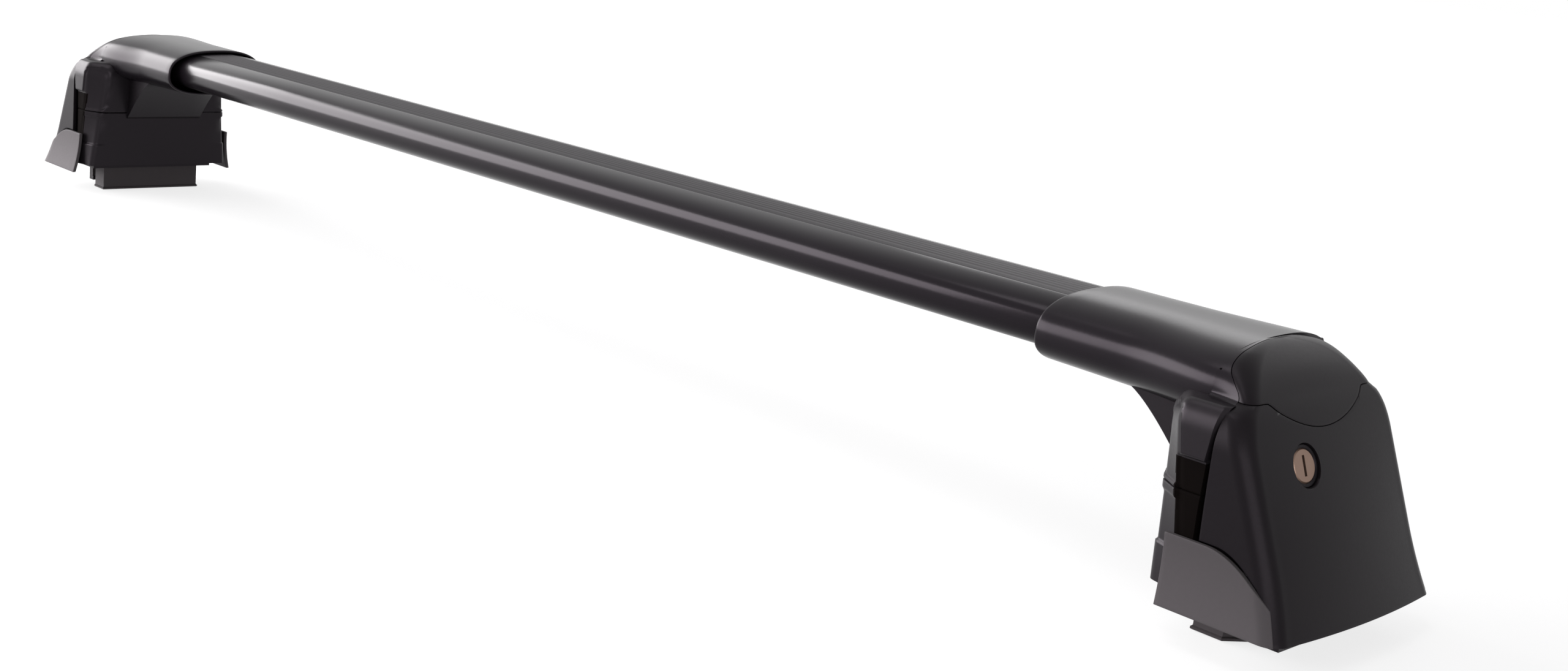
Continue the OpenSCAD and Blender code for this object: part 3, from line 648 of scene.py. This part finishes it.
def outward(points, i):
    """Direction out of the leg at a point of half its outline."""
    a = Vector(points[max(i - 1, 0)])
    b = Vector(points[min(i + 1, len(points) - 1)])
    t = (b - a).normalized()
    n = Vector((t.y, -t.x))
    if n.dot(Vector((-0.4, 1))) < 0:
        n = -n
    return Vector((-1, 0)) if points[i][1] < 1e-6 else n


def leg_row(z, inset=0.0, sink=True):
    """One row round the whole leg at height z, from front side over the inboard wall to the rear side."""
    rows = []
    for sign, taper in ((-1, 0.0), (1, REAR_TAPER)):
        points = rounded_path(leg_path(z, taper, inset), LEG_RADII, LEG_STEPS)
        half = []
        for i, (x, y) in enumerate(points):
            d = leg_depth(x, y, z) if sink else 0.0
            n = outward(points, i)
            half.append((x - n.x * d, sign * (y - n.y * d), z))
        rows.append(half)
    return rows[0] + list(reversed(rows[1]))[1:]


def leg_inner(rows, wall):
    """The same rows moved in by the wall, and by half of it along X near the sides."""
    out = []
    for row in rows:
        across = leg_w(row[0][2]) - INNER_EDGE
        moved = []
        for x, y, z in row:
            shift = wall if abs(y) < across else wall * 0.5
            moved.append((x + shift, y - math.copysign(min(wall, abs(y)), y), z))
        out.append(moved)
    return out


def paint_recess_shade(obj, side):
    """The sunk side faces below the step get painted shade: a near-black matt colour of their own."""
    obj.data.materials.append(RECESS_PAINTED_SHADE)
    for poly in obj.data.polygons:
        c = poly.center / MM
        on_side = c.x * side > panel_edge(c.z) - SHADE_REACH and abs(c.y) > HOUSING_W - SHADE_MARGIN
        if on_side and c.z < STEP_Z - SHADE_MARGIN:
            poly.material_index = 1


def build_housing(side, prefix):
    zs = [HOUSING_Z, HOUSING_Z + 0.4]
    low, high = HOUSING_Z + 1.2, SEAM_Z - 0.5
    zs += [mix(low, high, i / HOUSING_ROWS) for i in range(HOUSING_ROWS + 1)]
    rows = [leg_row(HOUSING_Z, FOOT_INSET)] + [leg_row(z) for z in zs] + [leg_row(SEAM_Z, SEAM_INSET)]
    obj = skin(prefix + "housing_skin", rows, leg_inner(rows, LEG_WALL), side)
    finish_piece(obj, "rack", prefix + "housing", BODY_BLACK, smooth_angle=50)
    paint_recess_shade(obj, side)
    build_housing_floor(side, prefix)
    for name, s in (("front", -1), ("rear", 1)):
        build_side_wall(side, prefix, name, s)


def build_housing_floor(side, prefix):
    front = [(x, -y) for x, y in FLOOR_PLAN]
    outline = front + list(reversed(FLOOR_PLAN)) + list(reversed(FLOOR_HOLE))
    rings = [[(x, y, z) for x, y in outline] for z in (HOUSING_Z + FLOOR_LIFT, HOUSING_Z + FLOOR_T)]
    floor = tube(prefix + "housing_floor", rings, side)
    finish_piece(floor, "rack", prefix + "housing", BODY_BLACK)


def build_side_wall(side, prefix, name, s):
    """Narrower wall of the housing behind the end cover."""
    y0, y1 = sorted((s * (HOUSING_W - SIDE_WALL_IN), s * (HOUSING_W - SIDE_WALL_OUT)))
    low = (LEG_X1 - SIDE_WALL_LAP, y0 - s * SIDE_WALL_OUT, HOUSING_Z + SIDE_WALL_Z)
    high = (HOUSING_X1, y1 - s * SIDE_WALL_OUT, SEAM_Z)
    wall = make_object(f"{prefix}housing_{name}_wall", box_corners(low, high), BOX_FACES, side)
    soften(wall, width=0.4, segments=2)
    finish_piece(wall, "rack", prefix + "housing", BODY_BLACK)


def build_leg_top(side, prefix):
    zs = [mix(SEAM_Z + 0.7, LEG_TURN_Z, i / LEG_ROWS) for i in range(LEG_ROWS + 1)]
    rows = [leg_row(SEAM_Z + 0.3, SEAM_INSET)] + [leg_row(z) for z in zs]
    for i in range(1, LEG_TURN_ROWS + 1):
        a = math.pi / 2 * i / LEG_TURN_ROWS
        z = LEG_TURN_Z + (PANEL_Z - LEG_TURN_Z) * math.sin(a)
        rows.append(leg_row(z, LEG_TURN_IN * (1 - math.cos(a))))
    rows.append(leg_row(PANEL_Z + 0.1, LEG_TOP_IN, sink=False))
    obj = skin(prefix + "leg_skin", rows, leg_inner(rows, LEG_WALL), side)
    finish_piece(obj, "rack", prefix + "arm", BODY_BLACK, smooth_angle=50)
    paint_recess_shade(obj, side)
    build_gusset(side, prefix)


def build_gusset(side, prefix):
    x1 = leg_x(SEAM_Z) - GUSSET_FIT
    slope = []
    for i in range(GUSSET_STEPS + 1):
        f = i / GUSSET_STEPS
        slope.append((x1 - GUSSET_L * (1 - f), GUSSET_TOP - (GUSSET_TOP - GUSSET_LOW) * f ** GUSSET_BEND))
    outline = slope + [(x1 + GUSSET_LAP, GUSSET_LOW), (x1 + GUSSET_LAP, GUSSET_TOP)]
    rings = [[(x, y, z) for x, z in outline] for y in (-GUSSET_W, GUSSET_W)]
    obj = tube(prefix + "gusset_skin", rings, side)
    soften(obj, width=1.6, segments=4, angle=60)
    finish_piece(obj, "rack", prefix + "arm", BODY_BLACK, smooth_angle=50)


# Form of the hood and the end cover

def end_x(z):
    return SEAM + COVER_REACH - END_SLOPE * (z - COVER_Z)


def round_over(z, z0, z1, e):
    """1 up to z0, then falling to 0 at z1 along a rounded curve."""
    return 1.0 if z <= z0 else max(0.0, 1 - ((z - z0) / (z1 - z0)) ** e) ** (1 / e)


def pod_x(z, t):
    return SEAM + (end_x(z) - SEAM) * round_over(z, BROW_Z, TOP_Z - t, 2) - t


def pod_w(z, t):
    flare = FOOT_FLARE * max(0.0, (SKIRT_Z1 - z) / (SKIRT_Z1 - COVER_Z)) ** 2
    return COVER_W * round_over(z, SHOULDER_Z, TOP_Z - t, 2) - t + flare


def hood_x0(z):
    return SEAM + lerp_table(HOOD_SEAM, z)


def sleeve_w_at(z):
    """Half-width of the sleeve at the seam, at height z."""
    c = 1.0
    for _ in range(SOLVE_ROUNDS):
        s = min(1.0, max(0.0, (z + LIFT * c - (TOP_Z - SLEEVE_H / 2)) / (SLEEVE_H / 2)))
        c = math.sqrt(max(0.0, 1 - s ** (2 / SLEEVE_ROUND))) ** SLEEVE_ROUND
    return (SLEEVE_W / 2 + SLEEVE_FLARE) * c


def crease(x, z, w):
    """Share of the half-width w left at a place, where the sleeve's round nose runs on into the hood."""
    nose = max(sleeve_w_at(z), POD_MIN) / max(w, POD_MIN)
    along = 1 - smooth((x - SEAM) / CREASE_L)
    up = smooth((z - CREASE_Z) / CREASE_H)
    return mix(1.0, min(nose, CREASE_MAX), along * up)


def pod_half(j, z, x0, t):
    """Point of column j on the front half of the foot, from x0 outwards, t inside its outer form."""
    u, w = max(pod_x(z, t), x0 + POD_MIN), max(pod_w(z, t), POD_MIN)
    rx, ry = min(CORNER_R - t, CORNER_SHARE_X * (u - x0)), min(CORNER_R - t, CORNER_SHARE_Y * w)
    bulge = END_BULGE * min(1.0, (u - x0) / BULGE_OVER)
    if j <= SIDE_N:
        x, y = mix(x0, u - rx, j / SIDE_N), -w
    elif j <= SIDE_N + TURN_N:
        a = math.pi / 2 * (j - SIDE_N) / TURN_N
        x, y = u - rx + rx * math.sin(a), -w + ry - ry * math.cos(a)
    else:
        f = (j - SIDE_N - TURN_N) / FACE_N
        x, y = u + bulge * (1 - (1 - f) ** 2), -(w - ry) * (1 - f)
    return x, y * crease(x, z, w), z


def pod(j, z, x0, t):
    """Point of column j round the whole foot; the rear half mirrors the front."""
    if j <= HALF_N:
        return pod_half(j, z, x0, t)
    x, y, z = pod_half(COL_N - 1 - j, z, x0, t)
    return x, -y, z


def hood_edge(y):
    """Height of the seam between hood and end cover, lowest in the middle."""
    f = min(1.0, abs(y) / (DIP_SPAN * COVER_W))
    return HOOD_SIDE_Z - HOOD_DIP * math.cos(math.pi / 2 * f) ** DIP_ROUND


def cover_x0(z):
    f = min(1.0, max(0.0, (z - SKIRT_Z1) / (HOOD_SIDE_Z - SKIRT_Z1)))
    return SEAM + COVER_EDGE - COVER_BOW * math.sin(math.pi * f)


def skirt_top(x):
    f = min(1.0, max(0.0, (x - SEAM - SKIRT_BEND) / (COVER_REACH - SKIRT_BEND)))
    return COVER_Z + (SKIRT_Z1 - COVER_Z) * math.sqrt(1 - f * f)


def cover_bottom(j):
    """Lower edge of the end cover: above the skirt on the sides, and at the foot on the end face."""
    k = min(j, COL_N - 1 - j)
    top = skirt_top(pod(j, COVER_Z, cover_x0(COVER_Z), 0)[0])
    fade = smooth((k - SIDE_N - TURN_N * FADE_START) / (TURN_N * FADE_SPAN))
    return mix(top + SKIRT_GAP, COVER_Z, fade)


def cover_rows(t, rows=56):
    grid = []
    for k in range(rows + 1):
        row = []
        for j in range(COL_N):
            y = pod(j, BROW_Z, cover_x0(BROW_Z), 0)[1]
            z = mix(cover_bottom(j), hood_edge(y) - COVER_GAP, k / rows)
            row.append(pod(j, z, cover_x0(z), t))
        grid.append(row)
    return grid


def hood_rows(t, rows=48):
    peak = TOP_Z - t
    grid = []
    for k in range(rows + 1):
        row = []
        for j in range(COL_N):
            y = pod(j, BROW_Z, SEAM + HOOD_REF, 0)[1]
            up = math.sin(math.pi / 2 * min(1.0, k / (rows - 1)))
            z = mix(hood_edge(y), peak - PEAK_GAP, up)
            p = pod(j, z, hood_x0(z), t)
            row.append(p if k < rows else (hood_x0(peak), p[1], peak))
        grid.append(row)
    return grid


def tongue_rows(t, s, rows=40, cols=8):
    """Side of the sleeve that runs on under the hood's slanting edge."""
    grid = []
    for k in range(rows + 1):
        z = mix(TONGUE_Z0, TONGUE_Z1, math.sin(math.pi / 2 * k / rows))
        row = []
        for i in range(cols + 1):
            x = mix(SEAM - TONGUE_LAP, hood_x0(z) - TONGUE_GAP, i / cols)
            w = pod_w(z, t)
            row.append((x, s * max(w, TONGUE_MIN_W) * crease(x, z, w), z))
        grid.append(row)
    return grid


def build_hood(side, prefix):
    obj = skin(prefix + "hood_skin", hood_rows(0), hood_rows(WALL), side)
    soften(obj, width=0.35, segments=3, angle=60)
    finish_piece(obj, "rack", prefix + "hood", COVER_BLACK, smooth_angle=45)


def build_cover(side, prefix):
    obj = skin(prefix + "cover_skin", cover_rows(0), cover_rows(WALL), side)
    soften(obj, width=0.45, segments=3, angle=60)
    cut_out(obj, turned(prefix + "hole", HOLE_PROFILE, side))
    finish_piece(obj, prefix + "cover", prefix + "end_cover", COVER_BLACK)


# Form of the lock

def lock_matrix():
    """Frame of the lock: its Z axis points out of the end face."""
    tilt = math.atan(END_SLOPE)
    m = Matrix.Translation((LOCK_X, LOCK_Y, LOCK_Z)) @ Matrix.Rotation(-LOCK_YAW, 4, "Z")
    return m @ Matrix.Rotation(math.pi / 2 - tilt, 4, "Y")


def turned(name, profile, side, count=64):
    """A solid of revolution about the lock's axis, from (radius, height) pairs."""
    m = lock_matrix()
    rings = []
    for r, h in profile:
        ring = []
        for i in range(count):
            a = 2 * math.pi * i / count
            ring.append(tuple(m @ Vector((r * math.cos(a), r * math.sin(a), h))))
        rings.append(ring)
    return tube(name, rings, side)


def build_lock(side, prefix):
    barrel = turned(prefix + "barrel_skin", BARREL_PROFILE, side)
    finish_piece(barrel, prefix + "cover", prefix + "lock_barrel", COVER_BLACK)
    core = turned(prefix + "core_skin", CORE_PROFILE, side)
    m = lock_matrix()
    corners = [tuple(m @ Vector(corner)) for corner in box_corners(*KEY_SLOT)]
    cut_out(core, make_object(prefix + "slot", corners, BOX_FACES, side))
    finish_piece(core, prefix + "lock", prefix + "lock_core", LOCK_METAL)


# Form of the skirts and the rest pad

def skirt_x0(z):
    return mix(SKIRT_LOW_X, SKIRT_TOP_X, (z - COVER_Z) / (SKIRT_Z1 - COVER_Z))


def skirt_rows(t, s):
    """Sheet t inside the foot's form, which thins towards its tip on the corner."""
    cols = SIDE_N + SKIRT_TURN_N[s]
    grid = []
    for k in range(SKIRT_ROWS + 1):
        row = []
        for j in range(cols + 1):
            x = pod(j, COVER_Z, SKIRT_X0, 0)[0]
            z = mix(COVER_Z, skirt_top(x), k / SKIRT_ROWS)
            thin = smooth((j - cols + TIP_N) / TIP_FADE_N)
            p = pod(j, z, skirt_x0(z), mix(t, min(t, TIP_OUT), thin))
            row.append((p[0], p[1] * s, p[2]))
        grid.append(row)
    return grid


def build_skirt(side, prefix, name, s):
    obj = skin(f"{prefix}{name}_skin", skirt_rows(SKIRT_OUT, s), skirt_rows(SKIRT_BACK, s), side)
    soften(obj, width=0.8, segments=4, angle=50)
    finish_piece(obj, "rack", prefix + name, GREY_RUBBER, smooth_angle=45)


def build_pad(side, prefix):
    rings = []
    for off, z in PAD_PROFILE:
        x0, x1, w = PAD_X0 - off, PAD_X1 + off, PAD_W + off
        cut = PAD_X1 - PAD_CUT_X
        plan = [(x0, -w), (cut, -w), (x1, PAD_CUT_Y - w), (x1, w - PAD_CUT_Y), (cut, w), (x0, w)]
        rings.append([(x, y, z) for x, y in plan])
    obj = tube(prefix + "pad_skin", rings, side)
    finish_piece(obj, "rack", prefix + "rest_pad", PAD_RUBBER, smooth_angle=20)


# Light, floor and camera, in metres

# Floor: colour, half its size, depth below the object, and its glow, which rises between two
# distances from the origin
FLOOR_GREY = (0.3, 0.3, 0.3, 1)
FLOOR_HALF = 12
FLOOR_DROP = 0.0005
GLOW = (("From Min", 0.7), ("From Max", 2.6), ("To Min", 0.77), ("To Max", 0.97))
# Strength of the world's light by the height of its direction, and the light's colour
SKY = (("From Min", -0.05), ("From Max", 0.34), ("To Min", 0.42), ("To Max", 0.14))
SKY_COLOR = (0.95, 0.93, 1.0, 1)
WHITE = (1, 1, 1)
NOSE_COLOR = (1.0, 0.985, 0.99)
# Lamps: name, place, target, size, radiance and colour
LAMPS = [
    ("nose_panel", (-2.35, -1.65, 0.9), (0.4, -0.05, 0.15), (3.9, 1.8), 8.8, NOSE_COLOR),
    ("fill_panel", (2.6, -1.5, 0.6), (0.5, 0, 0.08), (2.4, 1.3), 3.6, WHITE),
    ("top_panel", (-0.2, -0.7, 2.6), (0.2, 0, 0.1), (1.6, 0.9), 3.0, WHITE),
    ("back_panel", (-0.3, 2.6, 1.55), (0, 0, 0.1), (3.2, 0.9), 1.9, WHITE),
]
# Camera fitted to the photo: turn, pitch and roll in degrees, place, and focal length in pixels
CAMERA_ANGLES = (45.60324, 13.11526, 6.08881)
CAMERA_PLACE = (0.926244, -0.720857, 0.288979)
CAMERA_FOCUS = 3085.5
SENSOR_W = 36
PHOTO_W = 2560


def seen_rays(nodes, links):
    """1 for camera, glossy and transmission rays, which show the white backdrop, and 0 for others."""
    path = nodes.new("ShaderNodeLightPath")
    total = path.outputs["Is Camera Ray"]
    for kind in ("Is Glossy Ray", "Is Transmission Ray"):
        larger = nodes.new("ShaderNodeMath")
        larger.operation = "MAXIMUM"
        links.new(total, larger.inputs[0])
        links.new(path.outputs[kind], larger.inputs[1])
        total = larger.outputs[0]
    return total


def set_inputs(node, values):
    for socket, value in values:
        node.inputs[socket].default_value = value


def floor_material():
    """Finish that shows as white to the rays of seen_rays and still takes the object's shadow."""
    mat, nodes, links, shader = new_material("floor")
    set_inputs(shader, (("Base Color", FLOOR_GREY), ("Roughness", 0.8), ("Specular IOR Level", 0.2)))
    coords = nodes.new("ShaderNodeTexCoord")
    reach = nodes.new("ShaderNodeVectorMath")
    reach.operation = "LENGTH"
    links.new(coords.outputs["Object"], reach.inputs[0])
    white = nodes.new("ShaderNodeMapRange")
    set_inputs(white, GLOW)
    links.new(reach.outputs["Value"], white.inputs["Value"])
    level = nodes.new("ShaderNodeMath")
    level.operation = "MULTIPLY"
    links.new(white.outputs["Result"], level.inputs[1])
    links.new(seen_rays(nodes, links), level.inputs[0])
    glow = nodes.new("ShaderNodeEmission")
    links.new(level.outputs[0], glow.inputs["Strength"])
    both = nodes.new("ShaderNodeAddShader")
    links.new(shader.outputs["BSDF"], both.inputs[0])
    links.new(glow.outputs["Emission"], both.inputs[1])
    links.new(both.outputs["Shader"], nodes["Material Output"].inputs["Surface"])
    return mat


def build_floor():
    mesh = bpy.data.meshes.new("floor")
    h, z = FLOOR_HALF, -FLOOR_DROP
    mesh.from_pydata([(-h, -h, z), (h, -h, z), (h, h, z), (-h, h, z)], [], [(0, 1, 2, 3)])
    floor = bpy.data.objects.new("floor", mesh)
    bpy.context.collection.objects.link(floor)
    floor.data.materials.append(floor_material())


def build_world():
    """White backdrop that lights the object only softly, less from overhead."""
    world = bpy.data.worlds.new("world")
    bpy.context.scene.world = world
    world.use_nodes = True
    nodes, links = world.node_tree.nodes, world.node_tree.links
    nodes.clear()
    out = nodes.new("ShaderNodeOutputWorld")
    coords = nodes.new("ShaderNodeTexCoord")
    split = nodes.new("ShaderNodeSeparateXYZ")
    height = nodes.new("ShaderNodeMapRange")
    height.interpolation_type = "SMOOTHSTEP"
    set_inputs(height, SKY)
    plain = nodes.new("ShaderNodeBackground")
    plain.inputs["Color"].default_value = SKY_COLOR
    links.new(coords.outputs["Generated"], split.inputs[0])
    links.new(split.outputs["Z"], height.inputs["Value"])
    links.new(height.outputs["Result"], plain.inputs["Strength"])
    white = nodes.new("ShaderNodeBackground")
    set_inputs(white, (("Color", (*WHITE, 1)), ("Strength", 1.0)))
    pick = nodes.new("ShaderNodeMixShader")
    links.new(seen_rays(nodes, links), pick.inputs[0])
    links.new(plain.outputs["Background"], pick.inputs[1])
    links.new(white.outputs["Background"], pick.inputs[2])
    links.new(pick.outputs["Shader"], out.inputs["Surface"])


def area_light(name, place, target, size, radiance, color):
    data = bpy.data.lights.new(name, "AREA")
    data.shape = "RECTANGLE"
    data.size, data.size_y = size
    data.energy = radiance * math.pi * size[0] * size[1]
    data.color = color
    light = bpy.data.objects.new(name, data)
    light.location = place
    light.rotation_euler = (Vector(target) - Vector(place)).to_track_quat("-Z", "Y").to_euler()
    bpy.context.collection.objects.link(light)


def build_camera():
    yaw, pitch, roll = (math.radians(a) for a in CAMERA_ANGLES)
    look = Vector((-math.cos(yaw) * math.cos(pitch), math.sin(yaw) * math.cos(pitch), -math.sin(pitch)))
    level_right = look.cross(Vector((0, 0, 1))).normalized()
    level_up = level_right.cross(look)
    right = math.cos(roll) * level_right + math.sin(roll) * level_up
    up = -math.sin(roll) * level_right + math.cos(roll) * level_up
    data = bpy.data.cameras.new("camera")
    data.sensor_width = SENSOR_W
    data.lens = CAMERA_FOCUS * SENSOR_W / PHOTO_W
    data.clip_start, data.clip_end = 0.01, 100
    cam = bpy.data.objects.new("camera", data)
    m = Matrix((right, up, -look)).transposed().to_4x4()
    m.translation = Vector(CAMERA_PLACE)
    cam.matrix_world = m
    bpy.context.collection.objects.link(cam)
    bpy.context.scene.camera = cam


# The whole scene

def dress_frame():
    """Better finishes for the CAD pieces that are shown as they are."""
    for node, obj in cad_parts.items():
        for key, mat in CAD_LOOKS.items():
            if node.endswith(key):
                obj.data.materials.clear()
                obj.data.materials.append(mat)


def build_foot(side, prefix):
    build_sleeve(side, prefix)
    build_leg_top(side, prefix)
    build_housing(side, prefix)
    build_hood(side, prefix)
    build_cover(side, prefix)
    build_lock(side, prefix)
    build_skirt(side, prefix, "front_skirt", 1)
    build_skirt(side, prefix, "rear_skirt", -1)
    build_pad(side, prefix)


build_bar()
build_strip()
build_foot(1, "right_")
build_foot(-1, "left_")
dress_frame()
build_floor()
build_world()
for lamp in LAMPS:
    area_light(*lamp)
build_camera()
bpy.context.scene.view_settings.view_transform = "Standard"
